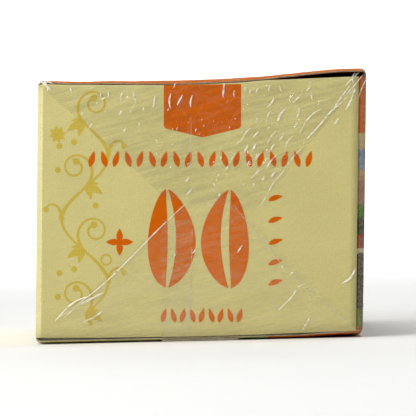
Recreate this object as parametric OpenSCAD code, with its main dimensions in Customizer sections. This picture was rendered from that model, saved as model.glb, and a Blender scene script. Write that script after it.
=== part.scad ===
// Shut tea carton in its clear overwrap.
// The pack stands on its bottom panel, with one end towards -Y and its front panel towards +X.
// The board is one folded blank: a sleeve of four panels, and at each end an inner flap
// folded in from the front panel and a cover flap folded over it from the back panel (-X).
// Millimetres, +Z up, origin at the centre of the bottom of the whole pack.

/* [Carton] */
// Width of the carton across its ends
box_w = 84.6; // [60:0.1:120]
// Height of the back panel at the ends
box_h = 66.9; // [48:0.1:100]
// Length of the carton, from end to end
box_l = 133; // [90:1:180]
// Thickness of the board
board_t = 0.45; // [0.3:0.05:0.7]
// Radius of the four long creases
crease_r = 1.1; // [0.8:0.1:2.5]

/* [End flaps] */
// Radius of the folds that the end flaps turn on
fold_r = 1.4; // [0.8:0.1:2.4]
// Distance from the cover flap's free edge to the front panel, at mid height
cover_setback = 1.85; // [1.5:0.1:5]
// Angle that the cover flap is folded out of line by
cover_skew = 0.25; // [0:0.05:0.5]
// Distance from the back panel's top edge down to the flaps, at the back
margin_back = 0.85; // [0.8:0.05:2]
// The same distance at the front
margin_front = 1.0; // [0.8:0.05:2]
// Distance from the bottom edge up to the flaps
margin_low = 1.0; // [0.7:0.05:2]
// How far the cut edges of the top and bottom panels lie behind the cover flap
edge_back = 0.2; // [0.05:0.05:0.5]
// Depth of the dark gaps above and below the flaps
gap_depth = 5; // [3:0.5:10]

/* [Tongue] */
// Width of the short board tongue under the near end
tongue_w = 20; // [8:1:40]
// Length of the tongue
tongue_l = 8; // [6:0.5:12]
// Corner radius of the tongue
tongue_r = 1.2; // [0.5:0.1:2]
// Place of the tongue's middle along the end, from the middle of the bottom panel
tongue_x = 0.4; // [-15:0.1:15]

/* [Wear] */
// Lean of the back panel, as the box is out of square
lean_back = 1.9; // [0:0.1:4]
// Lean of the front panel
lean_front = 2.2; // [0:0.1:4]
// Rise of the top panel from the ends to mid length
top_bulge = 1.7; // [0.6:0.1:2.5]
// Length over which the top panel rises, at either end
bulge_l = 20; // [8:1:40]
// Lift of the top panel's loose front corner, at the near end
corner_lift = 1.2; // [0:0.1:1.6]
// Sag of the top panel's edge beside that corner
edge_sag = 0.3; // [0:0.05:0.3]
// Rise of the bottom panel towards the ends
curl_up = 0.7; // [0.6:0.05:1.2]
// Length over which the bottom panel rises
curl_l = 14; // [12:1:30]

/* [Film] */
// Thickness of one layer of film
film_t = 0.1; // [0.05:0.01:0.2]
// Clearance between the carton and the film
film_gap = 0.06; // [0.04:0.01:0.2]
// Length that the film's envelope flaps reach over an end
flap_reach = 35; // [20:0.5:36]
// Width of the lap seam on the lower envelope flap
seam_w = 8.3; // [4:0.1:12]
// Place of the lap seam's middle, from the middle of the bottom panel
seam_x = -3.2; // [-12:0.1:12]
// Size of the pinholes at the corners of the end folds
pinhole = 0.5; // [0.3:0.1:0.8]

/* [Hidden] */

end_y = box_l / 2;                           // half the carton's length
end_low = curl_up;                           // bottom edge of an end
end_high = curl_up + box_h;                  // top edge of an end, at the back
full_high = end_high + top_bulge;            // top of the carton at mid length
film_off = film_gap + film_t;                // carton to the film's outer face
centre_x = (crease_r * tan(lean_back) + (full_high - crease_r) * tan(lean_front)) / 2;  // centres the outline
far = 200;                                   // reach of the cutting shapes
edge_steps = 16;                             // straight runs along a worn edge
arc_steps = 4;                               // straight runs round a crease or fold
pale = [0.82, 0.78, 0.53];
clear = [0.93, 0.94, 0.92, 0.35];

// Side face of the carton at a height: side -1 is the back panel, 1 the front panel
function lean_of(side) = side < 0 ? lean_back : lean_front;
function side_x(side, z) = side * box_w / 2 + z * tan(lean_of(side)) - centre_x;

// Smooth step from 0 to 1 as t goes from 0 to 1
function eased(t) = let (c = min(1, max(0, t))) c * c * (3 - 2 * c);

// Height of the near end's top edge above a straight one, at u from 0 (back) to 1 (front)
function worn(u, lift) = lift * eased((u - 0.58) / 0.32) - edge_sag * sin(180 * min(1, u / 0.8));

// Points of an arc about c, from one angle to another
function arc(c, r, from, to) =
    [for (i = [0:arc_steps]) let (a = from + (to - from) * i / arc_steps) c + r * [cos(a), sin(a)]];

// Points of the sleeve's cross section at mid length, grown by out
function sleeve_points(out) =
    let (r = crease_r, low = r, high = full_high - r, grown = r + out)
    concat(
        arc([side_x(-1, low) + r, low], grown, 180, 270),
        arc([side_x(1, low) - r, low], grown, 270, 360),
        arc([side_x(1, high) - r, high], grown, 0, 90),
        arc([side_x(-1, high) + r, high], grown, 90, 180)
    );

// Points along an end's top edge, from back to front, grown by out
function top_edge(out, lift) =
    let (
        r = crease_r,
        back = side_x(-1, end_high) + r,
        front = side_x(1, end_high) - r
    )
    concat(
        arc([back, end_high - r], r + out, 180, 90),
        [for (i = [1:edge_steps - 1])
            let (u = i / edge_steps) [back + (front - back) * u, end_high + worn(u, lift) + out]],
        arc([front, end_high + worn(1, lift) - r], r + out, 90, 0)
    );

// Heights of the flaps' lower and upper edges
function flap_low() = end_low + margin_low;
function flap_high(x) =
    let (u = (x - side_x(-1, end_high)) / box_w)
    end_high - margin_back - (margin_front - margin_back) * u;

// Stands a flat shape up in the end view and runs it along the length from y0 to y1
module along(y0, y1) {
    translate([0, y1, 0]) rotate([90, 0, 0]) linear_extrude(y1 - y0) children();
}

// Repeats the near end's work at the far end
module both_ends() {
    children();
    mirror([0, 1, 0]) children();
}

// What lies above the near end's top edge: its lower face slopes up to the panel's full height
module above_edge(out, lift) {
    line = top_edge(out, lift);
    slope = atan(top_bulge / bulge_l);
    translate([0, -end_y, end_high]) rotate([slope, 0, 0]) translate([0, 0, -end_high])
        along(-10, bulge_l * 2)
            polygon(concat(line, [[far, line[len(line) - 1][1]], [far, far], [-far, far], [-far, line[0][1]]]));
}

// What lies outside the near end's vertical edge on one side, with a fold of radius r
module outside_fold(side, out) {
    r = fold_r + out;
    c = [-side * fold_r, -end_y + fold_r];
    rim = arc(c, r, 270, side < 0 ? 180 : 360);
    translate([side_x(side, 0), 0, 0]) rotate([0, lean_of(side), 0]) translate([0, 0, -20])
        linear_extrude(far)
            polygon(concat(rim, [[side * 20, c[1]], [side * 20, -end_y - 20], [c[0], -end_y - 20]]));
}

// What lies below the bottom panel where it rises to the near end
module below_curl() {
    translate([-far / 2, -end_y, end_low]) rotate([-atan(curl_up / curl_l), 0, 0])
        translate([0, -10, -20]) cube([far, curl_l * 2, 20]);
}

// The closed block of the pack, grown by out
module block(out, lift, flat_bottom) {
    difference() {
        along(-end_y - out, end_y + out) polygon(sleeve_points(out));
        above_edge(out, lift);
        mirror([0, 1, 0]) above_edge(out, 0);
        both_ends() for (side = [-1, 1]) outside_fold(side, out);
        if (!flat_bottom) both_ends() below_curl();
    }
}

// The band of an end between the flaps' lower and upper edges
module flap_band() {
    polygon([[-far, flap_low()], [far, flap_low()], [far, flap_high(far)], [-far, flap_high(-far)]]);
}

// The sleeve's inner outline at an end
module inner_outline(lift) {
    r = crease_r;
    inner = -board_t;
    low = end_low + r;
    polygon(concat(
        arc([side_x(-1, low) + r, low], r + inner, 180, 270),
        arc([side_x(1, low) - r, low], r + inner, 270, 360),
        [for (i = [len(top_edge(inner, lift)) - 1:-1:0]) top_edge(inner, lift)[i]]
    ));
}

// Dark gaps between the flaps and the top and bottom panels
module end_gaps(lift) {
    difference() {
        along(-end_y - 1, -end_y + gap_depth) inner_outline(lift);
        along(-end_y - 2, -end_y + gap_depth + 1) flap_band();
    }
}

// Cut edges of the top and bottom panels, a little behind the cover flap
module edge_step() {
    difference() {
        translate([-far / 2, -end_y - 1, -1]) cube([far, 1 + edge_back, far]);
        along(-end_y - 2, -end_y + edge_back + 1) flap_band();
    }
}

// Step from the cover flap's free edge down to the inner flap, and that flap's fold
module inner_step() {
    c = [-fold_r, -end_y + board_t + fold_r];
    turn = arc(c, fold_r, 270, 360);
    mid_z = end_low + box_h / 2;
    free_x = side_x(1, mid_z) - cover_setback;
    slant = tan(lean_front - cover_skew);
    low = flap_low();
    high = flap_high(free_x);
    intersection() {
        translate([side_x(1, 0), 0, 0]) rotate([0, lean_front, 0]) translate([0, 0, -20])
            linear_extrude(far)
                polygon(concat(
                    [[-20, -end_y - 5], [-20, -end_y + board_t]], turn,
                    [[20, c[1]], [20, -end_y - 5]]
                ));
        along(-end_y - 4, -end_y + 10)
            polygon([
                [free_x + (low - mid_z) * slant, low], [far, low],
                [far, high], [free_x + (high - mid_z) * slant, high]
            ]);
    }
}

// Short tongue of board under the near end
module tongue() {
    r = tongue_r;
    y0 = -end_y + edge_back;
    linear_extrude(board_t)
        translate([side_x(-1, 0) + box_w / 2 + tongue_x, 0])
            polygon(concat(
                arc([-tongue_w / 2 + r, y0 + r], r, 180, 270),
                arc([tongue_w / 2 - r, y0 + r], r, 270, 360),
                [[tongue_w / 2, y0 + tongue_l], [-tongue_w / 2, y0 + tongue_l]]
            ));
}

module carton() {
    color(pale) translate([0, 0, film_off]) {
        difference() {
            block(0, corner_lift, false);
            end_gaps(corner_lift);
            mirror([0, 1, 0]) end_gaps(0);
            both_ends() {
                edge_step();
                inner_step();
            }
        }
        tongue();
    }
}

// An envelope flap of the film over the near end, from the top (up = 1) or the bottom (up = -1)
module envelope_flap(up, layers) {
    base = up > 0 ? end_high - fold_r : end_low + fold_r;
    tip = base - up * (flap_reach - fold_r);
    rise = abs(tip - base);
    along(-end_y - film_off - layers * film_t, -end_y - film_gap - film_t / 2)
        polygon([
            [side_x(-1, base) + fold_r, base], [side_x(1, base) - fold_r, base],
            [side_x(1, tip) - fold_r - rise, tip], [side_x(-1, tip) + fold_r + rise, tip]
        ]);
}

// The film's lap seam where it runs up the near end
module lap_seam() {
    low = end_low + fold_r;
    high = low + flap_reach - fold_r;
    x = side_x(-1, 0) + box_w / 2 + seam_x;
    along(-end_y - film_off - film_t * 2, -end_y - film_gap - film_t / 2)
        polygon([
            [x - seam_w / 2, low], [x + seam_w / 2, low],
            [x + seam_w / 2 + (high - low) * tan(lean_back), high],
            [x - seam_w / 2 + (high - low) * tan(lean_back), high]
        ]);
}

// Pinholes that the end folds leave at the corners
module pinholes() {
    for (side = [-1, 1]) {
        for (z = [end_low + fold_r, end_high - fold_r]) {
            translate([side_x(side, z) - side * fold_r * 1.3, -end_y, z])
                cube([pinhole, 1, pinhole], center = true);
        }
    }
}

module film() {
    color(clear) translate([0, 0, film_off]) difference() {
        union() {
            difference() {
                block(film_off, corner_lift, true);
                block(film_gap, corner_lift, true);
            }
            both_ends() {
                envelope_flap(-1, 1);
                envelope_flap(1, 2);
                lap_seam();
            }
        }
        both_ends() pinholes();
    }
}

carton();
film();
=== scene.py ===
import random
from math import atan2, copysign, cos, degrees, exp, pi, radians, sin, tan
import bpy
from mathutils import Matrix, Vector, noise


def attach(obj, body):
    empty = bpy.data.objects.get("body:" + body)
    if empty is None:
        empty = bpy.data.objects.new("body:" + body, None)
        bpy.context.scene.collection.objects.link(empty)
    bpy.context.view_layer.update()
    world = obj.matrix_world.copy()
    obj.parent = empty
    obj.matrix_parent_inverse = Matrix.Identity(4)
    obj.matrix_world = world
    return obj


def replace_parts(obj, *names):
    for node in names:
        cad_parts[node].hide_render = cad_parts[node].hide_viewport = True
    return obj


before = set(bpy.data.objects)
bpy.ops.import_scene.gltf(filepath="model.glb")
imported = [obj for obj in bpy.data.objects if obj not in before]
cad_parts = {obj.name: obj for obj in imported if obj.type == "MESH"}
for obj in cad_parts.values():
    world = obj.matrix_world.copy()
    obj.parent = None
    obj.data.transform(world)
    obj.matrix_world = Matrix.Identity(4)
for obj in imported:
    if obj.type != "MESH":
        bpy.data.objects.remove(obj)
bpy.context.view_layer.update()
mm = 0.001
random.seed(7)


# Colours and nodes

def toLinear(hexColour):
    parts = [int(hexColour[i:i + 2], 16) / 255 for i in (1, 3, 5)]
    return [c / 12.92 if c <= 0.04045 else ((c + 0.055) / 1.055) ** 2.4 for c in parts] + [1.0]


# A material, the function that adds a node with its settings, constants and links, and the place on a piece
def newMaterial(name):
    material = bpy.data.materials.new(name)
    material.use_nodes = True
    tree = material.node_tree
    tree.nodes.clear()

    def addNode(kind, values=None, links=None, **settings):
        node = tree.nodes.new("ShaderNode" + kind)
        for name, value in settings.items():
            setattr(node, name, value)
        for socket, value in (values or {}).items():
            node.inputs[socket].default_value = value
        for socket, source in (links or {}).items():
            if isinstance(source, bpy.types.Node):       # a node stands for its first output
                source = source.outputs[0]
            tree.links.new(source, node.inputs[socket])
        return node
    return material, addNode, addNode("TexCoord").outputs["Object"]


# The carton's shape, in millimetres, with the carton's own bottom at z 0

carton = {
    "width": 84.6, "height": 66.9, "length": 133.0,
    "board": 0.45,         # folding board
    "crushed": 0.6,        # share of that left at the cut edges
    "crease": 1.1,         # radius of the long creases
    "fold": 1.4,           # width of the folds at the ends, a scored and flattened band
    "foldPath": [(0.03, 0.93), (0.12, 0.78), (0.5, 0.40), (0.88, 0.08), (1.0, 0.0), (1.1, 0.0)],
    "edgeBack": 0.2,       # cut edges lie this far behind the cover flap
    "setbackLow": 1.75, "setbackHigh": 2.0,   # cover flap's free edge to the front panel
    "marginLow": 0.9,      # gap under the flaps
    # cover flap's top and bottom along the end, as shares of the width and mm
    "flapTop": [(0, -0.45), (0.13, -0.86), (0.28, -1.18), (0.4, -1.46), (0.5, -1.46), (0.6, -1.24),
                (0.71, -0.74), (0.96, -0.36), (1, -0.34)],
    "flapDip": [(0, 0.05), (0.2, 0.35), (0.45, 0.52), (0.62, 0.48), (0.8, 0.25), (0.96, 0), (1, 0)],
    "leanBack": 1.8, "leanFront": 2.15,      # degrees out of square
    "topBulge": 1.1, "frontBulge": 0.45,    # rise of the top at mid length, and more of it in front
    "sideBulge": 0.5,      # of the long side panels at mid height
    "uneven": 0.12,        # slow waves of the top panel
    # worn top edges in the same way: the near one sags and its front corner has sprung up
    "nearRim": [(0, 0.05), (0.07, -0.3), (0.13, -0.55), (0.19, -0.52), (0.31, -0.88), (0.43, -1.15),
                (0.555, -0.95), (0.68, -0.5), (0.77, 0.2), (0.83, 0.64), (0.89, 1.02), (0.94, 1.24),
                (1, 1.16)],
    "farRim": [(0, 0), (0.3, -0.3), (0.6, -0.35), (0.85, 0.1), (1, 0.2)],
    "liftLength": 62.0,    # the rims' wear fades out over this length
    "curl": 0.7, "curlBack": 6.0, "curlFront": 5.0,     # rise of the bottom panel's ends, and its length
    "frontRise": 0.55, "cornerRise": 0.55,   # more of it at the near end in front, and at the corner
    "riseLength": 16.0,
    "innerReach": 14.0,    # inner flap under the cover flap
    "innerGap": 0.03, "innerDrop": 0.3, "innerDropEdge": 1.5,    # its play, and how far it is below the top
    "greenFrom": 9.3, "greenTo": 17.6,       # printed bands under the bottom panel, across the box
    "thinned": 0.6,        # depth of the crushed edges
    "filmGap": 0.16,       # the carton stands this far above the floor, on its film
}
halfLength = carton["length"] / 2
endLow = carton["curl"]
endHigh = carton["curl"] + carton["height"]
centreX = 1.297            # centres the leaning outline


def eased(t):
    c = min(1.0, max(0.0, t))
    return c * c * (3 - 2 * c)


def lerp(a, b, t):
    return a + (b - a) * t


def polar(a, b, r, angle):
    return a + r * cos(angle), b + r * sin(angle)


def toFrame(x, y, z):
    return Vector((x * mm, y * mm, (z + carton["filmGap"]) * mm))


def middle(y):             # 1 at mid length, 0 at the ends
    return 1 - min(1.0, abs(y) / halfLength) ** 6


def sideX(side, z, y):
    lean = carton["leanBack"] if side < 0 else carton["leanFront"]
    h = min(1.0, max(0.0, (z - endLow) / carton["height"]))
    bulge = carton["sideBulge"] * sin(pi * h) * middle(y)
    return side * (carton["width"] / 2 + bulge) + z * tan(radians(lean)) - centreX


def alongProfile(profile, u):        # between straight and eased from point to point
    for (u0, z0), (u1, z1) in zip(profile, profile[1:]):
        if u <= u1:
            t = (u - u0) / (u1 - u0)
            return lerp(z0, z1, 0.5 * eased(t) + 0.5 * max(0.0, t))
    return profile[-1][1]


def topZ(u, y):
    near = 1 - eased((y + halfLength) / carton["liftLength"])
    far = 1 - eased((halfLength - y) / carton["liftLength"])
    bulge = (carton["topBulge"] + carton["frontBulge"] * u) * middle(y)
    soft = carton["uneven"] * noise.noise(Vector((u * 5, y * 0.06, 3.1))) * middle(y)
    worn = alongProfile(carton["nearRim"], u) * near + alongProfile(carton["farRim"], u) * far
    return endHigh + bulge + soft + worn


def bottomZ(u, y):
    reach = lerp(carton["curlBack"], carton["curlFront"], u)
    rise = carton["curl"] * max(0.0, 1 - (halfLength - abs(y)) / reach) ** 2
    near = 1 - eased((y + halfLength) / carton["riseLength"])
    front = carton["frontRise"] * eased((u - 0.8) / 0.15) + carton["cornerRise"] * eased((u - 0.95) / 0.05)
    return rise + near * front


def flapShare(x):
    return min(1.0, max(0.0, (x - sideX(-1, endHigh, halfLength)) / carton["width"]))


def flapLow(x):
    return endLow + carton["marginLow"] - alongProfile(carton["flapDip"], flapShare(x))


def flapHigh(x):
    return endHigh + alongProfile(carton["flapTop"], flapShare(x))


def coverEdgeX(z):
    h = (z - endLow) / carton["height"]
    return sideX(1, z, halfLength) - lerp(carton["setbackLow"], carton["setbackHigh"], h)


# One closed outline across the box: points (x, z), the panel that follows each point, and how far it is on
# the front (up to 1) or the back (down to -1)
def sectionLoop(y, out=0.0, steps=(28, 5, 22)):
    flat, arc, tall = steps
    r = carton["crease"]
    points, panels, insets = [], [], []
    low, lowBack = bottomZ(1, y) + r, bottomZ(0, y) + r
    high, highBack = topZ(1, y) - r, topZ(0, y) - r
    xBack, xFront = sideX(-1, endLow + r, y) + r, sideX(1, endLow + r, y) - r
    xBackTop, xFrontTop = sideX(-1, highBack, y) + r, sideX(1, high, y) - r

    def addPanel(name, count, inset, at):
        for i in range(count + 1):
            points.append(at(i / count))
            panels.append(name if i < count else "crease")
            insets.append(inset)

    def addCrease(x, z, start, insetAt):
        for i in range(1, arc):
            points.append(polar(x, z, r + out, radians(start + 90 * i / arc)))
            panels.append("crease")
            insets.append(insetAt(i / arc))

    addPanel("bottom", flat, 0.0, lambda u: (lerp(xBack, xFront, u), bottomZ(u, y) - out))
    addCrease(xFront, low, -90, lambda t: t)
    addPanel("front", tall, 1.0, lambda t: (sideX(1, lerp(low, high, t), y) + out, lerp(low, high, t)))
    addCrease(xFrontTop, high, 0, lambda t: 1 - t)
    addPanel("top", flat, 0.0, lambda t: (lerp(xBackTop, xFrontTop, 1 - t), topZ(1 - t, y) + out))
    addCrease(xBackTop, highBack, 90, lambda t: -t)
    addPanel("back", tall, -1.0,
             lambda t: (sideX(-1, lerp(highBack, lowBack, t), y) - out, lerp(highBack, lowBack, t)))
    addCrease(xBack, lowBack, 180, lambda t: t - 1)
    return points, panels, insets


def newPiece(name, points, faces, materials, finish=None, slots=None, smooth=True):
    mesh = bpy.data.meshes.new(name)
    mesh.from_pydata([tuple(p) for p in points], [], faces)
    for material in materials:
        mesh.materials.append(material)
    if slots:
        mesh.polygons.foreach_set("material_index", slots)
    mesh.polygons.foreach_set("use_smooth", [smooth] * len(mesh.polygons))
    mesh.update()
    piece = bpy.data.objects.new(name, mesh)
    bpy.context.collection.objects.link(piece)
    if finish:
        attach(piece, "root")
    return piece


def bandFaces(base, n):    # four-sided section carried along n steps, with its two ends closed
    faces = []
    for i in range(n):
        a, b = base + 4 * i, base + 4 * i + 4
        faces += [(a + k, a + (k + 1) % 4, b + (k + 1) % 4, b + k) for k in range(4)]
    return faces + [tuple(base + k for k in (3, 2, 1, 0)), tuple(base + 4 * n + k for k in range(4))]


# Printed folding board: white-lined chipboard, offset printed, with a linen emboss under satin varnish

boardLook = {
    "linenPitch": 0.62,      # mm between threads of the emboss, coarse enough to show
    "grain": 0.45,           # mm, print and fibre grain
    "mottle": 14.0,          # mm, uneven ink
    "speck": 1.1,            # mm, dust and dark fibres
    "roughness": 0.42,
    "linenBump": 0.35, "threadShade": 0.045,
}


def threadWave(addNode, axisSocket, pitch):
    turns = addNode("Math", {1: 2 * pi / (pitch * mm)}, {0: axisSocket}, operation="MULTIPLY")
    return addNode("Math", None, {0: turns}, operation="SINE")


def finishBoard(addNode, place, colour, roughness=None, linen=1.0, wear=True, varnish=0.25):
    look = boardLook
    roughness = roughness or look["roughness"]
    thread = look["threadShade"] * linen
    xyz = addNode("SeparateXYZ", None, {0: place})
    waves = [threadWave(addNode, xyz.outputs[i], look["linenPitch"]) for i in range(3)]
    pair = addNode("Math", None, {0: waves[0], 1: waves[1]}, operation="ADD")
    weave = addNode("Math", None, {0: pair, 1: waves[2]}, operation="ADD")
    grain, mottle, speck = (addNode("TexNoise", {"Scale": 1 / (look[size] * mm), "Detail": detail},
                                    {"Vector": place})
                            for size, detail in (("grain", 3.0), ("mottle", 4.0), ("speck", 1.0)))
    shade = addNode("MapRange", {1: 0.3, 2: 0.7, 3: 0.97, 4: 1.03}, {0: mottle})
    threads = addNode("MapRange", {1: -2.0, 2: 2.0, 3: 1 - thread, 4: 1 + thread}, {0: weave})
    fleck = addNode("MapRange", {1: 0.3, 2: 0.7, 3: 0.95, 4: 1.05}, {0: grain})
    dust = addNode("MapRange", {1: 0.2, 2: 0.25, 3: 0.8, 4: 1.0}, {0: speck})
    value = shade
    for part in (threads, fleck, dust):
        value = addNode("Math", None, {0: value, 1: part}, operation="MULTIPLY")
    ink = addNode("VectorMath", None, {0: colour, 3: value}, operation="SCALE")
    if wear:               # scuffed pale along the creases
        rub = addNode("Attribute", attribute_name="wear")
        patchy = addNode("Math", None, {0: rub.outputs["Fac"], 1: grain}, operation="MULTIPLY")
        amount = addNode("MapRange", {1: 0.3, 2: 0.75, 3: 0.0, 4: 0.3}, {0: patchy})
        scuffed = addNode("Mix", {7: toLinear("#efe8cf")}, {0: amount, 6: ink}, data_type="RGBA")
        ink = scuffed.outputs[2]
    rise = addNode("Math", {1: linen / 4}, {0: weave, 2: grain}, operation="MULTIPLY_ADD")
    bump = addNode("Bump", {"Strength": look["linenBump"], "Distance": 0.02 * mm}, {"Height": rise})
    sheen = addNode("MapRange", {1: 0.3, 2: 0.7, 3: roughness - 0.05, 4: roughness + 0.08}, {0: grain})
    board = addNode("BsdfPrincipled", {"IOR": 1.5, "Specular IOR Level": varnish},
                    {"Base Color": ink, "Roughness": sheen, "Normal": bump})
    addNode("OutputMaterial", None, {0: board})


def printedBoard(name, hexColour, **extra):
    material, addNode, place = newMaterial(name)
    ink = addNode("RGB")
    ink.outputs[0].default_value = toLinear(hexColour)
    finishBoard(addNode, place, ink, **extra)
    return material


# Cut chipboard: grey-beige core between two white liners, left matt by the die
def cutBoard():
    material, addNode, place = newMaterial("cutChipboardEdge")
    fibreSize = 0.5 * mm
    fibre = addNode("TexNoise", {"Scale": 1 / fibreSize, "Detail": 5.0, "Roughness": 0.7}, {"Vector": place})
    ramp = addNode("ValToRGB", None, {0: fibre})
    for stop, position, hexColour in zip(ramp.color_ramp.elements, (0.32, 0.68), ("#6b6250", "#b8ad92")):
        stop.position, stop.color = position, toLinear(hexColour)
    bump = addNode("Bump", {"Strength": 0.6, "Distance": 0.05 * mm}, {"Height": fibre})
    board = addNode("BsdfPrincipled", {"Roughness": 0.9, "Specular IOR Level": 0.2},
                    {"Base Color": ramp, "Normal": bump})
    addNode("OutputMaterial", None, {0: board})
    return material


# Picture panel: offset print in flat layers, as a plain landscape. Each layer lies below its own rolling
# line (height at the near end in mm, swing in mm, hills along the panel, phase, colour)
pictureLayers = [
    (52.8, 0.0, 0, 0.0, "#b9a57c"),       # pale haze under the orange band
    (48.5, 0.8, 2, 0.0, "#7c8b9c"),       # sky
    (43.6, 1.6, 3, 0.4, "#ab9067"),       # far dune
    (40.5, 1.4, 2, 1.1, "#9a7362"),       # far hills
    (34.3, 2.6, 4, 0.2, "#4f6f2c"),       # tea bushes in light
    (30.6, 2.2, 5, 0.9, "#26321f"),       # tea bushes in shade
    (26.9, 1.6, 3, 0.5, "#8c3222"),       # red earth
    (22.9, 1.0, 6, 0.1, "#b3ab8c"),       # path
    (21.6, 1.2, 4, 0.7, "#4a4039"),       # field
    (7.4, 1.0, 7, 0.3, "#6f7a35"),        # grass
    (2.7, 0.0, 0, 0.0, "#c2672b"),        # orange band
]


def pictureBoard():
    material, addNode, place = newMaterial("picturePrintedBoard")
    xyz = addNode("SeparateXYZ", None, {0: place})
    rough, tone = (addNode("TexNoise", {"Scale": 1 / (size * mm), "Detail": detail, "Roughness": soft},
                           {"Vector": place})
                   for size, detail, soft in ((1.6, 4.0, 0.5), (2.2, 6.0, 0.65)))
    ragged = addNode("MapRange", {1: 0.2, 2: 0.8, 3: -0.72 * mm, 4: 0.72 * mm}, {0: rough})
    spread = addNode("MapRange", {1: 0.3, 2: 0.7, 3: 0.72, 4: 1.28}, {0: tone})
    ink = addNode("RGB")
    ink.outputs[0].default_value = toLinear("#c45c10")
    for height, swing, hills, phase, hexColour in pictureLayers:
        turn = 2 * pi
        shift = swing * sin(turn * phase)       # so the layer meets its height at the near end
        pitch = turn * hills / (carton["length"] * mm)
        along = addNode("Math", {1: pitch, 2: turn * (hills / 2 + phase)}, {0: xyz.outputs[1]},
                        operation="MULTIPLY_ADD")
        wave = addNode("Math", None, {0: along}, operation="SINE")
        edge = addNode("Math", {1: swing * mm, 2: (height - shift) * mm}, {0: wave},
                       operation="MULTIPLY_ADD")
        if swing:
            edge = addNode("Math", None, {0: edge, 1: ragged}, operation="ADD")
        below = addNode("Math", None, {0: xyz.outputs[2], 1: edge}, operation="LESS_THAN")
        dye = addNode("VectorMath", {0: toLinear(hexColour)[:3]}, {3: spread}, operation="SCALE")
        ink = addNode("Mix", None, {0: below, 6: ink, 7: dye}, data_type="RGBA").outputs[2]
    finishBoard(addNode, place, ink, varnish=0.1)
    return material


print("materials: board")
paleBoard = printedBoard("palePrintedBoard", "#d6cb88")
orangeBoard = printedBoard("orangePrintedBoard", "#cc6a12", varnish=0.02, roughness=0.7)
greenBoard = printedBoard("greenPrintedBoard", "#a9b06a")
pictureMat = pictureBoard()
edgeMat = cutBoard()


# The carton: one folded blank, a sleeve of four panels with two flaps at each end

loopCache = {}


def loopAt(y):
    key = round(y, 4)
    if key not in loopCache:
        loopCache[key] = sectionLoop(y)[0]
    return loopCache[key]


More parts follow.
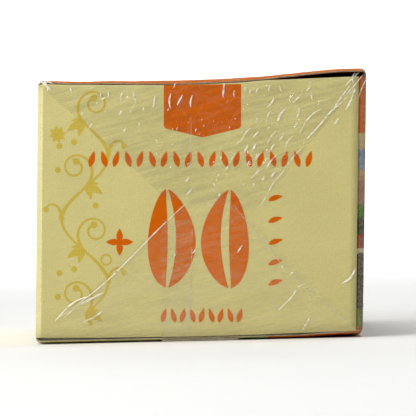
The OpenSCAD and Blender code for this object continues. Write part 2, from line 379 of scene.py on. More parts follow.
def buildCarton():
    spans = [-1, -0.985, -0.965, -0.94, -0.91, -0.87, -0.82, -0.76, -0.68, -0.58, -0.46, -0.32, -0.16]
    spans = spans + [0] + [-s for s in reversed(spans)]
    points, faces, slots, wear = [], [], [], []
    boards = [paleBoard, orangeBoard, pictureMat, greenBoard, edgeMat]
    pale, orange, picture, green, cut = range(len(boards))
    slotOf = {"bottom": pale, "front": picture, "top": orange, "back": pale}
    foldIn = carton["fold"]
    grid = []
    for s in spans:
        row = []
        _, panels, insets = sectionLoop(s * halfLength)
        for k, inset in enumerate(insets):
            back = carton["edgeBack"]
            if inset > 0:
                back = lerp(back, carton["board"] + foldIn, inset)
            if inset < 0:
                back = lerp(back, foldIn, -inset)
            y = s * (halfLength - back)
            loop = loopAt(y)
            row.append(len(points))
            points.append(toFrame(loop[k][0], y, loop[k][1]))
            wear.append(1.0 if panels[k] == "crease" or panels[k - 1] == "crease" else 0.0)
        grid.append(row)
    count = len(grid[0])
    for a, b in zip(grid, grid[1:]):
        for k in range(count):
            n = (k + 1) % count
            faces.append((a[k], b[k], b[n], a[n]))
            x = (points[a[k]].x + points[a[n]].x) / 2 / mm
            slot = slotOf.get(panels[k])
            if panels[k] == "crease":
                slot = orange if x > 0 or points[a[k]].z > endHigh / 2 * mm else pale
            if panels[k] == "bottom" and x > carton["greenFrom"]:
                slot = green if x < carton["greenTo"] else orange
            slots.append(slot)
    # flaps grow out of the side panels' last points
    for end in (-1, 1):
        rim = grid[0] if end < 0 else grid[-1]
        for side in (1, -1):
            name = "front" if side > 0 else "back"
            first = panels.index(name)
            column = rim[first:first + panels.count(name) + 1][::side]       # both run upwards
            turn = len(carton["foldPath"])
            flatSteps = 40 if side < 0 else 4
            lines = [column]
            for j in range(1, turn + flatSteps + 1):
                newColumn = []
                for i in range(len(column)):
                    v = i / (len(column) - 1)
                    z = points[column[i]].z / mm - carton["filmGap"]
                    zLow, zHigh = flapLow(carton["width"] / 2), flapHigh(side * carton["width"] / 2)
                    if side > 0:
                        zHigh = endHigh - (carton["innerDrop"] if j <= turn else carton["innerDropEdge"])
                    blend = min(1.0, j / 2) if side > 0 else eased(min(1.0, j / turn))
                    z = lerp(z, lerp(zLow, zHigh, v), blend)
                    depth0 = carton["board"] + carton["innerGap"] if side > 0 else 0.0
                    face = sideX(side, z, halfLength)
                    inward, behind = carton["foldPath"][min(j, turn) - 1]
                    x = face - side * foldIn * inward
                    depth = depth0 + foldIn * behind
                    if j > turn:
                        stop = coverEdgeX(z) if side < 0 else face - carton["innerReach"]
                        x = lerp(x, stop, (j - turn) / flatSteps)
                    if side < 0:
                        z = lerp(z, lerp(flapLow(x), flapHigh(x), v), blend)
                    newColumn.append(len(points))
                    points.append(toFrame(x, end * (halfLength - depth), z))
                    wear.append(1.0 if 1 <= j < turn else 0.0)
                lines.append(newColumn)
            for a, b in zip(lines, lines[1:]):
                for i in range(len(column) - 1):
                    faces.append((a[i], a[i + 1], b[i + 1], b[i])[::-side * end])
                    slots.append(picture if side > 0 else pale)
    piece = newPiece("foldedCarton", points, faces, boards, "board", slots)
    attribute = piece.data.attributes.new("wear", "FLOAT", "POINT")
    attribute.data.foreach_set("value", wear)
    piece.data.set_sharp_from_angle(angle=radians(21))   # keeps the folds crisp
    crushed = piece.vertex_groups.new(name="crushedEdge")     # the cutting rule thins the board at its edges
    sleeve = count * len(grid)
    ends = {i for i in range(sleeve) if abs(points[i].y) > (halfLength - carton["thinned"]) * mm}
    crushed.add([i for i in range(len(points)) if i not in ends], 1.0, "REPLACE")
    crushed.add(sorted(ends), carton["crushed"], "REPLACE")
    thick = piece.modifiers.new("boardThickness", "SOLIDIFY")
    thick.thickness = carton["board"] * mm
    thick.offset = -1
    thick.material_offset_rim = cut
    thick.use_even_offset = True
    thick.vertex_group = "crushedEdge"
    return piece


print("carton")
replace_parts(buildCarton(), "carton")


# Short board tongue that sticks out under the near end
tongue = {"width": 20.2, "length": 8.0, "corner": 1.2, "middle": -0.95, "back": 0.15, "drop": 0.02}


def roundedOutline(x0, z0, x1, z1, r, steps=5):
    corners = ((x1 - r, z0 + r, -90), (x1 - r, z1 - r, 0), (x0 + r, z1 - r, 90), (x0 + r, z0 + r, 180))
    return [polar(cx, cz, r, radians(start + 90 * i / steps))
            for cx, cz, start in corners for i in range(steps + 1)]


def slab(outline, place, low, high):
    n = len(outline)
    points = [place(a, b, low) for a, b in outline] + [place(a, b, high) for a, b in outline]
    faces = [tuple(range(n))[::-1], tuple(range(n, 2 * n))]
    faces += [(i, (i + 1) % n, n + (i + 1) % n, n + i) for i in range(n)]
    return points, faces


tongueY = tongue["back"] - halfLength
tonguePoints, tongueFaces = slab(
    roundedOutline(tongue["middle"] - tongue["width"] / 2, tongueY, tongue["middle"] + tongue["width"] / 2,
                   tongueY + tongue["length"], tongue["corner"]),
    toFrame, -tongue["drop"], carton["board"] - tongue["drop"])
newPiece("boardTongue", tonguePoints, tongueFaces, [paleBoard, edgeMat], "board",
         [0, 0] + [1] * (len(tongueFaces) - 2), smooth=False)


# Print on the end flaps: thin ink shapes, laid out in mm from the middle of the end

inkLook = {
    "vineLift": 0.012, "sprigLift": 0.045, "tabLift": 0.03, "sink": -0.01,     # mm, ink above the board
    "layer": 0.0008,         # mm between shapes that cross
    "turn": -1.32,           # degrees that the print is turned on the flap
    "middle": (1.77, 34.31),
    "orange": "#d4640a", "gold": "#cdb54e",
}


def onEnd(end):
    turn = radians(inkLook["turn"])
    cx, cz = inkLook["middle"]

    def place(a, b, lift):
        x = cx + a * cos(turn) - b * sin(turn)
        z = cz + b * cos(turn) + a * sin(turn) - carton["filmGap"]
        return toFrame(x, end * (halfLength + lift), z)
    return place


def onPanel(panel):        # the same for the long panels, seen from outside
    def place(a, b, lift):
        if panel == "top":
            return toFrame(a, b, topZ((a - sideX(-1, endHigh, b)) / carton["width"], b) + lift)
        side = 1 if panel == "front" else -1
        z = b + endLow + carton["height"] / 2
        return toFrame(sideX(side, z, side * a) + side * lift, side * a, z)
    return place


def moved(shapes, shift, flip=1):
    def go(line):
        return [(flip * p[0] + shift, p[1]) for p in line]
    return [tuple(go(edge) for edge in shape) if isinstance(shape, tuple) else go(shape) for shape in shapes]


def through(points, steps):        # a smooth line through the points
    result = []
    last = len(points) - 1
    for i in range(last):
        p0, p1, p2, p3 = (Vector(points[max(0, min(last, i + k))]) for k in (-1, 0, 1, 2))
        for s in range(steps):
            t = s / steps
            result.append(0.5 * (2 * p1 + (p2 - p0) * t + (2 * p0 - 5 * p1 + 4 * p2 - p3) * t * t
                                 + (3 * p1 - p0 - 3 * p2 + p3) * t ** 3))
    result.append(Vector(points[-1]))
    return result


def stroke(line, widths):          # the two edges of a line drawn with these widths along it
    left, right = [], []
    n = len(line) - 1
    for i, p in enumerate(line):
        spot = i / n * (len(widths) - 1)
        k = min(int(spot), len(widths) - 2)
        w = lerp(widths[k], widths[k + 1], spot - k) / 2
        d = (line[min(n, i + 1)] - line[max(0, i - 1)]).normalized()
        side = Vector((-d.y, d.x)) * w
        left.append(tuple(p + side))
        right.append(tuple(p - side))
    return left, right


def circle(a, b, r, steps=18):
    return [polar(a, b, r, 2 * pi * i / steps) for i in range(steps)]


def ring(a, b, r, width, steps=28):
    line = [Vector(p) for p in circle(a, b, r, steps)]
    return stroke(line + line[:1], [width, width])


def leaf(a, b, angle, length, width, bend=0.0):
    c, s = cos(radians(angle)), sin(radians(angle))
    line = []
    for i in range(13):
        t = i / 12
        p, q = t * length, bend * length * sin(pi * t)
        line.append(Vector((a + p * c - q * s, b + p * s + q * c)))
    widths = [0.1 + width * sin(pi * (i / 12) ** 0.8) for i in range(13)]
    return stroke(line, widths)


# Climbing scroll beside the cover flap's fold, all worked out from these sizes: a swaying stem, a tendril
# coiled in the hollow of each sway, leaves, berries, a star and a ring
vine = {
    "low": -27.6, "high": 21.6, "middle": -31.8, "sway": 6.0, "sways": 3,
    "stemWidths": [0.35, 0.6, 0.95, 0.6, 0.6, 0.95, 0.6, 0.6, 0.95, 0.6],
    "coilLength": 25.0, "coilOpen": 0.16, "coilTight": 0.6,
    "coilWidths": [0.9, 0.75, 0.6, 0.52, 0.5, 0.55, 0.7],
    "hookLength": 7.4, "hookOpen": 0.12, "hookTight": 0.85, "hookWidths": [1.5, 0.9, 0.6, 0.5, 0.6],
    "leafLength": 4.9, "leafWidth": 1.9, "berry": 0.92,
    "star": (-38.9, 19.0), "starOuter": 2.3, "starInner": 1.45, "starPoints": 8,
    "ring": (-26.3, -13.4), "ringRadius": 1.3, "ringWidth": 0.5,
}


def stemAt(t):             # place and heading on the stem
    turn = pi * vine["sways"] * t
    span = vine["high"] - vine["low"]
    a = vine["middle"] + vine["sway"] * sin(turn)
    slope = vine["sway"] * pi * vine["sways"] * cos(turn)
    return Vector((a, vine["low"] + span * t)), atan2(span, slope)


def tendril(start, heading, side, length, slack, tight, steps=44):
    line = [start.copy()]
    for i in range(steps):
        heading += side * lerp(slack, tight, ((i + 0.5) / steps) ** 1.5) * length / steps
        line.append(line[-1] + Vector((cos(heading), sin(heading))) * length / steps)
    return line


def vineShapes():
    look = vine
    leafSize = (look["leafLength"], look["leafWidth"])
    shapes = [stroke([stemAt(i / 60)[0] for i in range(61)], look["stemWidths"])]
    for k in range(look["sways"] + 1):
        side = 1 if k % 2 == 0 else -1
        start, heading = stemAt(k / look["sways"])
        coil = tendril(start, heading, side, look["coilLength"], look["coilOpen"], look["coilTight"])
        shapes += [stroke(coil, look["coilWidths"]), circle(coil[-1].x, coil[-1].y, look["berry"])]
        for turn, size in ((24, 0.75), (62, 1.0), (104, 0.7)):
            angle = degrees(heading) - side * turn
            length, width = (size * full for full in leafSize)
            shapes.append(leaf(start.x, start.y, angle, length, width, 0.12 * side))
        if k < look["sways"]:
            crest, heading = stemAt((k + 0.5) / look["sways"])
            hook = tendril(crest, heading, -side, look["hookLength"], look["hookOpen"], look["hookTight"])
            shapes += [stroke(hook, look["hookWidths"]), circle(hook[-1].x, hook[-1].y, look["berry"] * 0.8)]
            for reach, rise in ((8.8, 3.6), (12.6, 2.6), (13.0, -3.6)):
                if k == 1 and reach > 9:       # the sprig's own cross stands here
                    continue
                shapes.append(circle(crest.x - side * reach, crest.y + rise, look["berry"] * 0.85))
    a, b = look["star"]
    count = look["starPoints"]
    radii = [look["starOuter"], look["starInner"]] * count
    shapes.append([polar(a, b, r, pi * i / count + 0.2) for i, r in enumerate(radii)])
    return shapes + [ring(*look["ring"], look["ringRadius"], look["ringWidth"])]


# A sprig of tea leaves in the middle, small buds in rows above and below, a cross and a column beside it
sprig = {
    "bigLeaves": [(-10.6, -20.6, 1.25), (5.6, -20.8, -1.25)],        # foot, and bend in mm
    "bigHeight": 25.6, "belly": 6.2, "rib": 0.22, "ribMost": 0.85,
    "cross": (-22.85, -8.8), "crossLeaf": (3.5, 1.6),
    # first leaf, height, how many, the row's length, set back, leaf length and width
    "rows": [(-30.0, 10.6, 19, 56.1, 2.1, 4.3, 1.45), (-11.4, -29.6, 9, 19.6, 1.9, 3.8, 1.3)],
    "column": 15.6, "columnUps": (1.9, -3.7, -9.4, -14.7, -19.9),
}


def bigLeaves():
    shapes = []
    for a, b, bend in sprig["bigLeaves"]:
        # each big leaf is two halves with a bare midrib between them
        for side in (-1, 1):
            outer, inner = [], []
            for i in range(29):
                t = lerp(0.004, 0.996, i / 28)
                belly = sprig["belly"] * sin(pi * t ** 0.86) ** 0.62
                rib = sprig["rib"] + sprig["ribMost"] * sin(pi * t) ** 0.7
                x, z = a + bend * sin(pi * t), b + sprig["bigHeight"] * t
                outer.append((x + side * belly, z))
                inner.append((x + side * min(rib, belly * 0.9), z))
            shapes.append((outer, inner))
    return shapes


def sprigShapes():
    shapes = bigLeaves() + [leaf(*sprig["cross"], angle, *sprig["crossLeaf"]) for angle in (0, 90, 180, 270)]
    for first, b, count, reach, back, length, width in sprig["rows"]:
        for i in range(count):
            a = first + i * reach / (count - 1)
            lean = 74 if i % 2 == 0 else 106
            shapes.append(leaf(a - back * cos(radians(lean)), b, lean, length, width))
    return shapes + [leaf(sprig["column"], b, 18, 3.9, 1.25, 0.05) for b in sprig["columnUps"]]


# orange tab with a blunt point, hanging from the upper edge
tab = {"left": -11.45, "right": 8.56, "topLeft": 31.74, "topRight": 32.06, "tip": 18.25,
       "corner": 1.0, "cornerUp": 21.45}


def tabShape():
    r = tab["corner"]

    def corner(a, start):
        return [polar(a, tab["cornerUp"], r, radians(start - 75 * i / 5)) for i in range(6)]
    return [[(tab["left"], tab["topLeft"]), (tab["right"], tab["topRight"])] + corner(tab["right"] - r, 0)
            + [((tab["left"] + tab["right"]) / 2, tab["tip"])] + corner(tab["left"] + r, 255)]


def inkMaterial(name, hexColour):
    return printedBoard(name, hexColour, wear=False, roughness=0.6, varnish=0.02)


def layInk(kind, tag, shapes, material, place, end=-1):
    points, faces = [], []
    for k, shape in enumerate(shapes):
        low, high = inkLook["sink"], inkLook[kind + "Lift"] + inkLook["layer"] * k
        base = len(points)
        outline = shape[0] + shape[1][::-1] if isinstance(shape, tuple) else shape
        area = sum(p[0] * q[1] - q[0] * p[1] for p, q in zip(outline, outline[1:] + outline[:1]))
        turned = (area < 0) != (end > 0)
        if isinstance(shape, tuple):       # two edges: a band of four-sided faces
            left, right = shape
            for (a, b), (c, d) in zip(left, right):
                points += [place(a, b, high), place(c, d, high), place(c, d, low), place(a, b, low)]
            faces += [f if turned else f[::-1] for f in bandFaces(base, len(left) - 1)]
        else:
            more, sides = slab(shape[::-1] if turned else shape, place, low, high)
            points += more
            faces += [tuple(base + i for i in f) for f in sides]
    newPiece(kind + "Print" + tag, points, faces, [material], "board", smooth=False)


print("print")
goldInk = inkMaterial("goldOffsetInk", inkLook["gold"])
orangeInk = inkMaterial("orangeOffsetInk", inkLook["orange"])
for end, tag in ((-1, "Near"), (1, "Far")):
    layInk("vine", tag, vineShapes(), goldInk, onEnd(end), end)
    layInk("sprig", tag, sprigShapes(), orangeInk, onEnd(end), end)
    layInk("tab", tag, tabShape(), orangeInk, onEnd(end), end)
# The back panel repeats the scroll at both ends and the leaves between, and the top has the leaves alone
backVines = moved(vineShapes(), -22.0) + moved(vineShapes(), 22.0, -1)
layInk("vine", "Back", backVines, goldInk, onPanel("back"))
layInk("sprig", "Back", moved(bigLeaves(), 2.5), orangeInk, onPanel("back"))
layInk("sprig", "Top", moved(bigLeaves(), 2.5), goldInk, onPanel("top"))


# Clear film: oriented polypropylene, glossy, heat sealed. Folded layers look hazier, partly real haze and
# partly painted reflection; creases whiten and are also painted near white as highlights; drawn streaks
# paint shade into the film

filmLook = {
    "ior": 1.49, "roughness": 0.09,
    "shineMost": 0.028,      # loose film never lies flat enough to mirror fully at a glance
    "shinePanels": 0.1,      # it is tighter on the long panels
    # haze shares: partly the real haze of folded film, partly painted reflection of the room
    "hazeAndSheenSingle": 0.004, "hazeAndSheenUpper": 0.01, "hazeAndSheenLower": 0.08, "hazeAndSheenSeam": 0.05, "whitenedAndGlintCrease": 0.92,
    "whitenedAndHighlightSoftCrease": 0.34,
    "ripple": 9.0,           # mm, slow waves of the sheet
    "crinkle": 1.3,          # mm, fine crinkles
    "drawn": (0.7, 9.0),     # mm, width and length of the drawn streaks, which vary the haze and paint shade into the clear film
    "drawnTurn": 14,         # degrees
}


def clearFilm(name, hazeAndSheen, hazeAndSheenColour, bumpHeight, tint=0.98, whitening=0.0, shine=None):
    look = filmLook
    material, addNode, place = newMaterial(name)
    ripple, crinkle = (addNode("TexNoise", {"Scale": 1 / (look[size] * mm), "Detail": 2.0},
                               {"Vector": place}) for size in ("ripple", "crinkle"))
    turned = addNode("Mapping", {"Rotation": (0, radians(look["drawnTurn"]), 0)}, {0: place})
    wide, long = (1 / (size * mm) for size in look["drawn"])
    drawn = addNode("Mapping", {"Scale": (long, long, wide)}, {0: turned})
    streaks = addNode("TexNoise", {"Scale": 1.0, "Detail": 3.0}, {"Vector": drawn})
    height = addNode("Math", {1: 0.12}, {0: crinkle, 2: ripple}, operation="MULTIPLY_ADD")
    bump = addNode("Bump", {"Strength": 1.0, "Distance": bumpHeight * mm}, {"Height": height})
    rim = addNode("Fresnel", {"IOR": look["ior"]}, {"Normal": bump})
    capped = addNode("Math", {1: shine or look["shineMost"]}, {0: rim}, operation="MINIMUM")
    facing = addNode("NewGeometry")
    outer = addNode("Math", {0: 1.0}, {1: facing.outputs["Backfacing"]}, operation="SUBTRACT")
    mirror = addNode("Math", None, {0: capped, 1: outer}, operation="MULTIPLY")
    # painted shade: the clear film is dimmed in drawn streaks down to tint, standing in for the shading
    # along its wrinkles
    paintedStreakShade = addNode("MapRange", {1: 0.35, 2: 0.65, 3: 1.0, 4: tint}, {0: streaks})
    clear = addNode("BsdfTransparent", None, {0: paintedStreakShade})
    gloss = addNode("BsdfGlossy", {"Roughness": look["roughness"]}, {"Normal": bump})
    sheet = addNode("MixShader", None, {0: mirror, 1: clear, 2: gloss})
    # a pale diffuse layer in patches: partly real haze, partly painted reflection
    hazeAndSheenPatches = addNode("MapRange", {1: 0.35, 2: 0.65, 3: hazeAndSheen * 0.35, 4: hazeAndSheen * 1.65}, {0: streaks})
    hazeAndSheenShare = addNode("Math", None, {0: hazeAndSheenPatches, 1: outer}, operation="MULTIPLY")
    hazeAndSheenLayer = addNode("BsdfDiffuse", {"Color": toLinear(hazeAndSheenColour)})
    if whitening:          # a stretched crease scatters light like frosting
        frost = addNode("BsdfGlossy", {"Color": toLinear("#fffdf0"), "Roughness": 0.42})
        hazeAndSheenLayer = addNode("MixShader", {0: whitening}, {1: hazeAndSheenLayer, 2: frost})
    film = addNode("MixShader", None, {0: hazeAndSheenShare, 1: sheet, 2: hazeAndSheenLayer})
    addNode("OutputMaterial", None, {0: film})
    return material


print("film")
singleFilm = clearFilm("clearPolypropyleneFilm", filmLook["hazeAndSheenSingle"], "#e8e6da", 0.8,
                       shine=filmLook["shinePanels"])
# the crumpled upper film is dimmed most: painted shade in streaks
upperFilm = clearFilm("crumpledPolypropyleneFilm", filmLook["hazeAndSheenUpper"], "#dcd8c6", 0.7, tint=0.91)
lowerFilm = clearFilm("foldedPolypropyleneFilm", filmLook["hazeAndSheenLower"], "#dccf9c", 0.5)
seamFilm = clearFilm("sealedPolypropyleneFilm", filmLook["hazeAndSheenSeam"], "#dcd2a4", 0.3)
# painted highlights: near-white crease film stands in for the glints of light on the film's folds and
# crinkles
creasePaintedGlintFilm = clearFilm("creaseWhitenedPaintedGlintFilm", filmLook["whitenedAndGlintCrease"], "#fffbe6", 0.2, whitening=0.4)
# painted highlight, fainter: for the soft folds and the pull lines
softCreasePaintedHighlightFilm = clearFilm("softCreasePaintedHighlightFilm", filmLook["whitenedAndHighlightSoftCrease"], "#fffbe6", 0.2, whitening=0.5)


# Skin round the whole carton: the outline, drawn in at the end folds and closed flat over each end
skinLook = {"out": 0.1, "low": -0.14, "wobble": 0.05, "wobblePitch": 0.18,      # mm, and turns to a mm
            "sideReach": 2.2, "topReach": 2.0, "bottomReach": 1.2}


def buildSkin():
    out = skinLook["out"]
    r = carton["fold"] + out
    turns = [pi / 2 * i / 5 for i in range(6)]
    # (y, drawn in), from the flat end out to the full outline
    rows = sorted((r * (1 - sin(a)) - halfLength - out, r * (1 - cos(a))) for a in turns)
    spans = [0.97, 0.95, 0.92, 0.88, 0.83, 0.76, 0.66, 0.54, 0.4, 0.25, 0.1]
    middleRows = [(-s * halfLength, 0.0) for s in spans] + [(s * halfLength, 0.0) for s in reversed(spans)]
    rows = rows + middleRows + [(-y, d) for y, d in reversed(rows)]
    points, faces, loops = [], [], []
    for y, drawn in rows:
        loop = sectionLoop(max(-halfLength, min(halfLength, y)), out, (60, 5, 48))[0]
        ids = []
        for x, z in loop:
            cx, cz = centreAt(z), endLow + carton["height"] / 2
            x -= copysign(min(abs(x - cx), drawn * sideShare(x, z)), x - cx)
            z -= copysign(min(abs(z - cz), drawn * topShare(z)), z - cz)
            ids.append(len(points))
            wobble = skinLook["wobble"] * noise.noise(Vector((x, y, z)) * skinLook["wobblePitch"])
            points.append(toFrame(x, y, max(z + wobble * topShare(z), skinLook["low"])))
        loops.append(ids)
    n = len(loops[0])
    for a, b in zip(loops, loops[1:]):
        faces += [(a[k], a[(k + 1) % n], b[(k + 1) % n], b[k]) for k in range(n)]
    faces += [tuple(loops[0][::-1]), tuple(loops[-1])]
    return newPiece("filmSkin", points, faces, [singleFilm], "film")


def centreAt(z):
    return (sideX(-1, z, halfLength) + sideX(1, z, halfLength)) / 2


def sideShare(x, z):
    return 1.0 if abs(abs(x - centreAt(z)) - carton["width"] / 2) < skinLook["sideReach"] else 0.0


def topShare(z):
    return 1.0 if z > endHigh - skinLook["topReach"] or z < endLow + skinLook["bottomReach"] else 0.0


# Height of the film's crumples above its flat fold, in mm: facets, short right-leaning pleats, slow waves.
# They gather about the upper front corner (middle and reach) and in a band under the upper edge
crumpleLook = {
    "corner": (20, 52), "cornerReach": (17, 15), "band": 64, "bandReach": 4.5,
    "calm": 0.35, "bandShare": 0.6,
    "facet": 0.12, "pleat": 0.55, "fine": 0.04, "broad": 0.1,      # mm
}


def crumple(x, z, strength):
    look = crumpleLook
    (cx, cz), (rx, rz) = look["corner"], look["cornerReach"]
    corner = exp(-((x - cx) / rx) ** 2 - ((z - cz) / rz) ** 2)
    band = exp(-((z - look["band"]) / look["bandReach"]) ** 2)
    spot = Vector((x * 0.30 + z * 0.12, z * 0.26 - x * 0.05, 0.0))
    near = noise.voronoi(spot)[0]
    facet = exp(-((near[1] - near[0]) / 0.12) ** 2)
    along, across = x * 0.5 + z * 0.866, x * 0.866 - z * 0.5       # turned by 30 degrees
    pleat = max(0.0, noise.noise(Vector((across * 0.75, along * 0.22, 7.0))) - 0.12)
    fine = noise.noise(Vector((x * 0.9, z * 0.5, 4.0)))
    broad = noise.noise(Vector((x * 0.12, z * 0.12, 9.0)))
    much = strength * (look["calm"] + corner + look["bandShare"] * band)
    return (much * (look["facet"] * facet + look["pleat"] * pleat + look["fine"] * fine)
            + look["broad"] * (broad + 0.5))


# Envelope flap: a four-sided sheet folded over the end, corners (x, z) listed anticlockwise from the fold
flapSheets = {
    "lower": {"corners": [(-42.6, 1.2), (40.6, 1.1), (6.6, 37.2), (-3.0, 37.0)], "lift": 0.20,
              "crumple": 0.35, "film": lowerFilm},
    "upper": {"corners": [(-40.8, 66.9), (42.6, 67.2), (14.0, 33.0), (-8.5, 36.6)], "lift": 0.34,
              "crumple": 1.0, "film": upperFilm},
}


flapLook = {"across": 250, "up": 112, "wave": 0.35, "waveInside": 0.3, "wavePitch": 0.2, "edgeSlope": 14}


def buildFlap(name, spec, end):
    look = flapLook
    across, up = look["across"], look["up"]
    c = [Vector(p) for p in spec["corners"]]
    points = []
    for j in range(up + 1):
        t = j / up
        for i in range(across + 1):
            s = i / across
            p = (c[0].lerp(c[1], s)).lerp(c[3].lerp(c[2], s), t)
            spot = Vector((p.x * look["wavePitch"], p.y * look["wavePitch"], 2.0))
            wave = look["wave"] * noise.noise(spot) * min(1, 6 * t)
            x, z = p.x + wave * (1 if s in (0, 1) else look["waveInside"]), p.y + 0.5 * wave
            edge = min(s, 1 - s, t, 1 - t)
            rise = crumple(x, z, spec["crumple"]) * eased(edge * look["edgeSlope"])
            points.append(toFrame(x, end * (halfLength + spec["lift"] + rise), z - carton["filmGap"]))
    row = across + 1
    starts = [j * row + i for j in range(up) for i in range(across)]
    faces = [(a, a + 1, a + row + 1, a + row) for a in starts]
    if (spec["corners"][0][1] > spec["corners"][3][1]) != (end > 0):
        faces = [f[::-1] for f in faces]
    newPiece(name, points, faces, [spec["film"]], "film")


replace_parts(buildSkin(), "film")
for end, tag in ((-1, "Near"), (1, "Far")):
    for which, spec in flapSheets.items():
        buildFlap(which + "FilmFlap" + tag, spec, end)


# Whitened creases, painted near white as the highlights along the film's folds: narrow lens-shaped ridges of
# film. Each is a line of points in mm from the middle of the end, and a width
creaseLines = [
    # folded edge from the upper front corner down to the middle
    ([(38.0, 31.0), (34.4, 27.2), (31.6, 24.8), (28.6, 21.2), (26.0, 18.4), (24.6, 16.6)], 0.34),
    ([(24.4, 15.6), (22.0, 13.2), (19.4, 9.4), (16.8, 6.4), (14.8, 2.6), (12.4, -0.8)], 0.2),
    ([(38.2, 31.2), (36.8, 27.6), (35.6, 25.4)], 0.5), ([(36.6, 31.6), (33.4, 27.2), (32.6, 25.4)], 0.34),
    ([(29.2, 25.6), (27.2, 24.4), (25.2, 22.2), (23.6, 19.2)], 0.3), ([(33.8, 23.2), (32.4, 21.4)], 0.42),
    # long folded edge from the lower back corner
    ([(-39.6, -29.2), (-27.8, -20.3), (-19.5, -12.3), (-12.4, -5.1), (-4.4, 2.4)], 0.24),
    ([(-39.6, -29.2), (-35.0, -24.6), (-30.4, -22.6)], 0.42),
    ([(-37.0, -28.0), (-32.0, -24.2), (-27.6, -22.4)], 0.3),
    ([(-32.6, -29.6), (-29.4, -28.2), (-27.4, -26.6)], 0.4),
    ([(-33.0, -25.4), (-29.0, -22.8), (-27.0, -21.8)], 0.3),
    # gathered corners
    ([(-43.6, 32.8), (-42.0, 31.9), (-40.6, 30.4)], 0.5),
    ([(-42.4, 32.9), (-41.6, 31.6), (-41.4, 30.2)], 0.4),
    ([(-42.9, 32.4), (-41.2, 32.6), (-40.0, 32.0)], 0.3),
    ([(40.2, 34.6), (37.4, 31.2), (35.0, 28.6)], 0.22), ([(39.0, 35.0), (37.0, 33.2), (35.4, 31.6)], 0.3),
    ([(40.8, 33.2), (39.6, 30.6), (38.8, 28.2)], 0.24), ([(38.0, 34.9), (37.3, 33.8), (37.6, 32.2)], 0.24),
    # lower front corner
    ([(38.2, -15.4), (36.8, -18.0), (34.4, -19.6)], 0.55),
    ([(25.8, -19.2), (23.4, -20.4), (21.6, -23.0), (19.6, -25.0), (17.8, -26.9)], 0.26),
    ([(26.2, -28.4), (25.2, -30.2), (24.4, -31.7)], 0.4),
]
# Folded edges, painted faintly pale for the little light that they catch
softLines = [
    ([(37.6, -31.4), (30.8, -25.0), (22.4, -18.0), (15.8, -10.6), (12.0, -6.0), (4.4, 3.4)], 0.2),
    ([(-4.2, 24.0), (-4.5, 16.0), (-4.7, 3.0)], 0.12), ([(-4.1, -3.0), (-4.3, -18.0), (-4.6, -33.0)], 0.16),
]
# short pleats under the upper edge and right-leaning crinkles beside the tab, painted white as highlights:
# (a, b, length, angle, width)
crinkles = [
    (-35.6, 31.2, 1.6, 290, 0.3), (-27.6, 30.3, 1.7, 268, 0.24), (-25.8, 30.4, 1.9, 270, 0.24),
    (-22.0, 30.0, 2.7, 258, 0.5), (-19.4, 30.2, 3.2, 284, 0.5), (-13.6, 29.3, 3.2, 262, 0.4),
    (-9.6, 29.6, 3.8, 268, 0.42), (-6.6, 29.2, 3.0, 242, 0.42), (-4.0, 29.2, 3.2, 262, 0.4),
    (4.2, 32.3, 3.8, 265, 0.5), (6.8, 30.4, 1.6, 268, 0.3), (-8.4, 32.2, 1.2, 250, 0.3),
    (9.6, 31.4, 1.5, 272, 0.36), (10.9, 31.2, 1.6, 265, 0.26), (13.1, 31.4, 1.6, 250, 0.34),
    (16.0, 31.7, 1.5, 258, 0.3), (18.4, 31.5, 1.6, 290, 0.26), (26.6, 32.8, 2.9, 245, 0.34),
    (24.2, 29.6, 3.2, 227, 0.34), (26.8, 29.9, 1.9, 272, 0.4), (17.2, 28.9, 3.5, 235, 0.36),
    (20.2, 26.0, 5.0, 242, 0.55), (23.6, 26.2, 2.7, 256, 0.5), (23.2, 22.2, 1.7, 236, 0.4),
    (12.9, 23.2, 1.3, 245, 0.36), (16.2, 25.2, 3.4, 250, 0.22), (11.0, 20.7, 2.8, 228, 0.26),
    (9.4, 18.7, 2.7, 226, 0.28), (17.6, 19.9, 4.2, 236, 0.28), (19.8, 19.6, 2.6, 238, 0.34),
    (13.0, 19.8, 1.9, 226, 0.32), (12.4, 16.6, 2.1, 245, 0.5), (10.4, 16.4, 2.2, 240, 0.34),
    (17.2, 16.5, 2.0, 240, 0.3), (22.0, 18.7, 4.0, 236, 0.26), (14.0, 14.4, 3.0, 224, 0.34),
    (7.0, 14.4, 2.5, 240, 0.36), (10.7, 12.2, 1.5, 246, 0.3), (17.7, 13.8, 4.5, 233, 0.34),
    (13.6, 10.2, 3.6, 225, 0.34), (5.2, 10.9, 1.3, 240, 0.36), (17.4, 9.5, 1.8, 236, 0.36),
    (14.5, 8.2, 1.2, 245, 0.34), (12.0, 6.5, 1.1, 248, 0.32),
    (-32.0, 25.0, 1.5, 236, 0.4), (-30.0, 21.8, 1.6, 240, 0.4), (-22.2, 25.2, 1.3, 232, 0.4),
    (-21.2, 20.8, 1.2, 232, 0.36), (-19.0, 26.6, 1.0, 215, 0.4), (-26.6, 28.6, 1.1, 215, 0.4),
    (-5.0, 8.0, 1.6, 232, 0.3), (3.0, 3.8, 0.9, 262, 0.4), (8.9, -9.6, 2.4, 236, 0.34),
    (-3.2, -10.6, 1.6, 232, 0.3), (-8.0, -11.4, 1.4, 236, 0.3), (22.0, -16.6, 0.9, 210, 0.4),
    (19.4, -14.8, 0.7, 240, 0.3), (-4.2, 5.0, 2.2, 228, 0.3),
]


ridgeLook = {
    "low": 0.44, "sink": 0.02, "rise": 0.14,     # mm, the foot above the board, its depth; and the slope
    "bow": 0.1,              # bend of a crinkle, as a share of its length
    "glints": 46, "glintLength": (0.3, 0.9), "glintWidth": (0.16, 0.3), "glintTurn": (215, 262),
    "ragged": 0.85, "raggedShort": 0.25,         # uneven width of long and short ridges
}


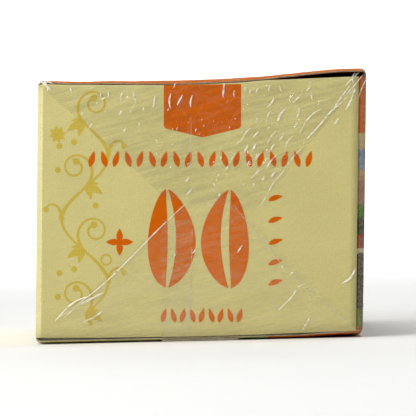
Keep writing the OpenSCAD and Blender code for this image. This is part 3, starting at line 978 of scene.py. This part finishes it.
def crinkleLines():
    lines = []
    for a, b, length, angle, width in crinkles:
        c, s = cos(radians(angle)), sin(radians(angle))
        bow = random.uniform(-ridgeLook["bow"], ridgeLook["bow"]) * length
        spine = [(a + c * length * t - s * bow * sin(pi * t),
                  b + s * length * t + c * bow * sin(pi * t)) for t in (0, 0.25, 0.5, 0.75, 1)]
        lines.append((through(spine, 2), width))
    for _ in range(ridgeLook["glints"]):       # small painted glints strewn over the crumpled upper fold
        a, b = random.uniform(-30, 30), random.uniform(9, 30)
        if abs(a) > 34 - (31 - b) * 1.2:
            continue
        length = random.uniform(*ridgeLook["glintLength"])
        angle = radians(random.uniform(*ridgeLook["glintTurn"]))
        spine = [Vector(polar(a, b, length * t, angle)) for t in (0, 0.5, 1)]
        lines.append((spine, random.uniform(*ridgeLook["glintWidth"])))
    return lines


def buildCreases(name, lines, material, place, end=-1, low=ridgeLook["low"]):
    points, faces = [], []
    for line, width in lines:
        n = len(line) - 1
        base = len(points)
        jag = ridgeLook["ragged"] if n > 10 else ridgeLook["raggedShort"]
        for i, p in enumerate(line):
            d = (line[min(n, i + 1)] - line[max(0, i - 1)]).normalized()
            side = Vector((-d.y, d.x))
            taper = sin(pi * min(0.97, max(0.03, i / n))) ** 0.6
            vary = 1 + jag * noise.noise(Vector((p.x * 1.7, p.y * 1.7, 1.0)))
            w = width * taper * vary / 2
            foot = ((p - side * w, low), (p, low + ridgeLook["rise"] * w), (p + side * w, low),
                    (p, low - ridgeLook["sink"]))
            points += [place(q.x, q.y, lift) for q, lift in foot]
        faces += [f if end > 0 else f[::-1] for f in bandFaces(base, n)]
    newPiece(name, points, faces, [material], "film", smooth=False)


def smoothLines(lines):
    return [(through(points, 5), width) for points, width in lines]


for end, tag in ((-1, "Near"), (1, "Far")):
    buildCreases("filmCreasesPaintedGlints" + tag, smoothLines(creaseLines) + crinkleLines(), creasePaintedGlintFilm, onEnd(end), end)
    buildCreases("softFilmCreasesPaintedHighlight" + tag, smoothLines(softLines), softCreasePaintedHighlightFilm, onEnd(end), end)

# Pull lines of the wrap on the long panels, painted faintly pale as the light they catch: short and close
# beside the end folds, long and few between
pull = {"lines": 26, "shortest": 2.0, "longest": 13.0, "width": 0.2, "long": 5, "longReach": 44.0,
        "low": 0.13, "topHalf": 40.0, "sideHalf": 31.0}


def pullLines(draw, halfTall):
    lines = []
    for i in range(pull["lines"]):
        end = -1 if i % 2 else 1
        length = lerp(pull["shortest"], pull["longest"], draw.random() ** 2)
        a, b = end * (halfLength - draw.uniform(2.0, 3.4)), draw.uniform(-0.93, 0.93) * halfTall
        drift = draw.uniform(-0.35, 0.35) * length
        lines.append(([(a, b), (a - end * length * 0.5, b + drift * 0.3), (a - end * length, b + drift)],
                      pull["width"] * draw.uniform(0.7, 1.5)))
    for _ in range(pull["long"]):
        a, b = draw.uniform(-0.8, 0.1) * halfLength, draw.uniform(-0.85, 0.85) * halfTall
        reach = draw.uniform(0.4, 1.0) * pull["longReach"]
        between = (a + reach * 0.5, b + draw.uniform(-1, 1))
        lines.append(([(a, b), between, (a + reach, b + draw.uniform(-2, 2))], pull["width"] * 0.8))
    return lines


for seed, panel in enumerate(("top", "front", "back")):
    lines = pullLines(random.Random(20 + seed), pull["topHalf" if panel == "top" else "sideHalf"])
    if panel == "top":
        lines = [([(b, a) for a, b in line], width) for line, width in lines]
    buildCreases(panel + "PullLines", smoothLines(lines), softCreasePaintedHighlightFilm, onPanel(panel), low=pull["low"])


# Lap seam up the lower flap: the film's two edges sealed over each other
seam = {"left": -12.1, "right": -4.1, "low": -33.4, "high": -3.0, "lift": 0.26, "crumple": 0.3, "bow": 0.25,
        "rows": 40}


def buildSeam(name, end):
    place = onEnd(end)
    points = []
    for j in range(seam["rows"] + 1):
        b = lerp(seam["low"], seam["high"], j / seam["rows"])
        bow = seam["bow"] * noise.noise(Vector((b * 0.15, 0.0, 5.0)))
        for a in (seam["left"], seam["right"]):
            rise = 0.5 * crumple(a, b + 34, seam["crumple"])
            points.append(place(a + bow, b, seam["lift"] + rise))
    starts = range(0, 2 * seam["rows"], 2)
    faces = [(k, k + 1, k + 3, k + 2) if end < 0 else (k, k + 2, k + 3, k + 1) for k in starts]
    newPiece(name, points, faces, [seamFilm], "film", smooth=False)


buildSeam("filmSeamNear", -1)
buildSeam("filmSeamFar", 1)


# Floor, lights and camera, in metres and watts, and the box stands at the origin
studio = {"floor": "#fbfbf9", "world": 0.07, "aim": (0, 0, 0.035),
          "front": -2.5, "halfWidth": 3.0, "bendStart": 1.2, "bend": 0.9, "height": 3.0}
lamps = {
    "keyBox": {"place": (-0.56, -0.68, 0.5), "power": 3.6, "size": 0.28},
    "glintBox": {"place": (-0.42, -1.25, 0.5), "power": 0.9, "size": 0.12},      # small, for hard glints
    "fillBox": {"place": (0.9, -1.0, 0.5), "power": 1.9, "size": 0.8},
    "sideBox": {"place": (-1.1, -0.3, 0.35), "power": 5.4, "size": 0.6},
    "topBox": {"place": (0.0, 0.1, 1.3), "power": 9.0, "size": 0.9},
    "backBox": {"place": (0.0, 1.6, 1.2), "power": 20.0, "size": 1.2, "aim": (0, 2.0, 0.6)},
}


def buildFloor():
    start, r = studio["bendStart"], studio["bend"]
    profile = [(studio["front"], 0.0), (-0.5, 0.0), (0.6, 0.0), (start, 0.0)]
    profile += [polar(start, r, r, pi / 2 * (i / 10 - 1)) for i in range(1, 11)]
    profile.append((start + r, studio["height"]))
    points = [(x, y, z) for y, z in profile for x in (-studio["halfWidth"], studio["halfWidth"])]
    faces = [(2 * i, 2 * i + 1, 2 * i + 3, 2 * i + 2) for i in range(len(profile) - 1)]
    material, addNode, place = newMaterial("matWhiteSweep")
    grain = addNode("TexNoise", {"Scale": 60.0, "Detail": 3.0}, {"Vector": place})
    tint = addNode("MapRange", {1: 0.3, 2: 0.7, 3: 0.99, 4: 1.0}, {0: grain})
    shade = addNode("VectorMath", {0: toLinear(studio["floor"])[:3]}, {3: tint}, operation="SCALE")
    paper = addNode("BsdfPrincipled", {"Roughness": 0.9, "Specular IOR Level": 0.1}, {"Base Color": shade})
    addNode("OutputMaterial", None, {0: paper})
    newPiece("studioSweep", points, faces, [material])


print("studio")
buildFloor()
for name, spec in lamps.items():
    lamp = bpy.data.lights.new(name, "AREA")
    lamp.energy, lamp.size, lamp.shape = spec["power"], spec["size"], "SQUARE"
    holder = bpy.data.objects.new(name, lamp)
    holder.location = spec["place"]
    facing = Vector(spec.get("aim", studio["aim"])) - Vector(spec["place"])
    holder.rotation_euler = facing.to_track_quat("-Z", "Y").to_euler()
    bpy.context.collection.objects.link(holder)
world = bpy.data.worlds.new("softRoom")
world.use_nodes = True
glow = world.node_tree.nodes["Background"]
glow.inputs[0].default_value, glow.inputs[1].default_value = (1, 1, 1, 1), studio["world"]
bpy.context.scene.world = world
bpy.context.scene.view_settings.view_transform = "Standard"

# The camera looks square on at the near end, rolled a little, from about a metre
view = {"distance": 1.0, "across": 1.77, "up": 34.31, "span": 107.54, "roll": 1.32}
lens = bpy.data.cameras.new("camera")
lens.lens = lens.sensor_width * view["distance"] / (view["span"] * mm)
lens.clip_end = 20
camera = bpy.data.objects.new("camera", lens)
camera.location = (view["across"] * mm, -halfLength * mm - view["distance"], view["up"] * mm)
camera.rotation_euler = (radians(90), radians(view["roll"]), 0)
bpy.context.collection.objects.link(camera)
bpy.context.scene.camera = camera
